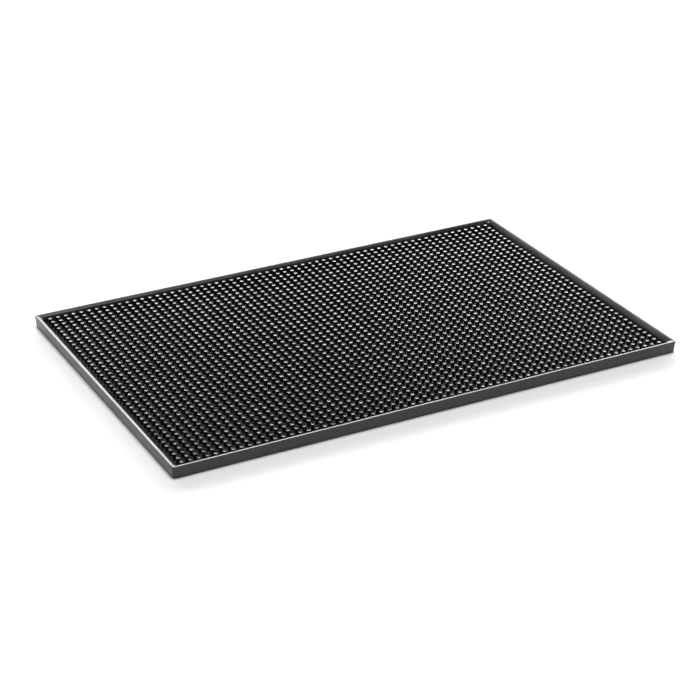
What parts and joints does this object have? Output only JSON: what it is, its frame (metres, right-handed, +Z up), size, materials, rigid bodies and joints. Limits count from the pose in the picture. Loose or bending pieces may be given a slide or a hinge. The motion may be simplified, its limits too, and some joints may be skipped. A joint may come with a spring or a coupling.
{
  "type": "bar service mat",
  "caption": "Rectangular black rubber bar mat: a shallow tray with a rounded raised rim and a square grid of upright nubs that hold glasses above spilled liquid.",
  "frame": {"origin": "on the supporting surface, under the middle of the mat", "axes": "+X along the long side, +Y along the short side, +Z up, out of the nubbed face"},
  "size_m": [0.45, 0.298, 0.01],
  "materials": {
    "rubber": "satin black moulded rubber with a fine grain"
  },
  "bodies": {
    "root": {"floor_sheet": "rubber", "rim_front": "rubber", "rim_right": "rubber", "rim_back": "rubber", "rim_left": "rubber", "nub_row_01": "rubber", "nub_row_02": "rubber", "nub_row_03": "rubber", "nub_row_04": "rubber", "nub_row_05": "rubber", "nub_row_06": "rubber", "nub_row_07": "rubber", "nub_row_08": "rubber", "nub_row_09": "rubber", "nub_row_10": "rubber", "nub_row_11": "rubber", "nub_row_12": "rubber", "nub_row_13": "rubber", "nub_row_14": "rubber", "nub_row_15": "rubber", "nub_row_16": "rubber", "nub_row_17": "rubber", "nub_row_18": "rubber", "nub_row_19": "rubber", "nub_row_20": "rubber", "nub_row_21": "rubber", "nub_row_22": "rubber", "nub_row_23": "rubber", "nub_row_24": "rubber", "nub_row_25": "rubber", "nub_row_26": "rubber", "nub_row_27": "rubber", "nub_row_28": "rubber", "nub_row_29": "rubber", "nub_row_30": "rubber", "nub_row_31": "rubber", "nub_row_32": "rubber", "nub_row_33": "rubber", "nub_row_34": "rubber", "nub_row_35": "rubber", "nub_row_36": "rubber", "nub_row_37": "rubber", "nub_row_38": "rubber", "nub_row_39": "rubber", "nub_row_40": "rubber", "nub_row_41": "rubber"}
  },
  "joints": []
}
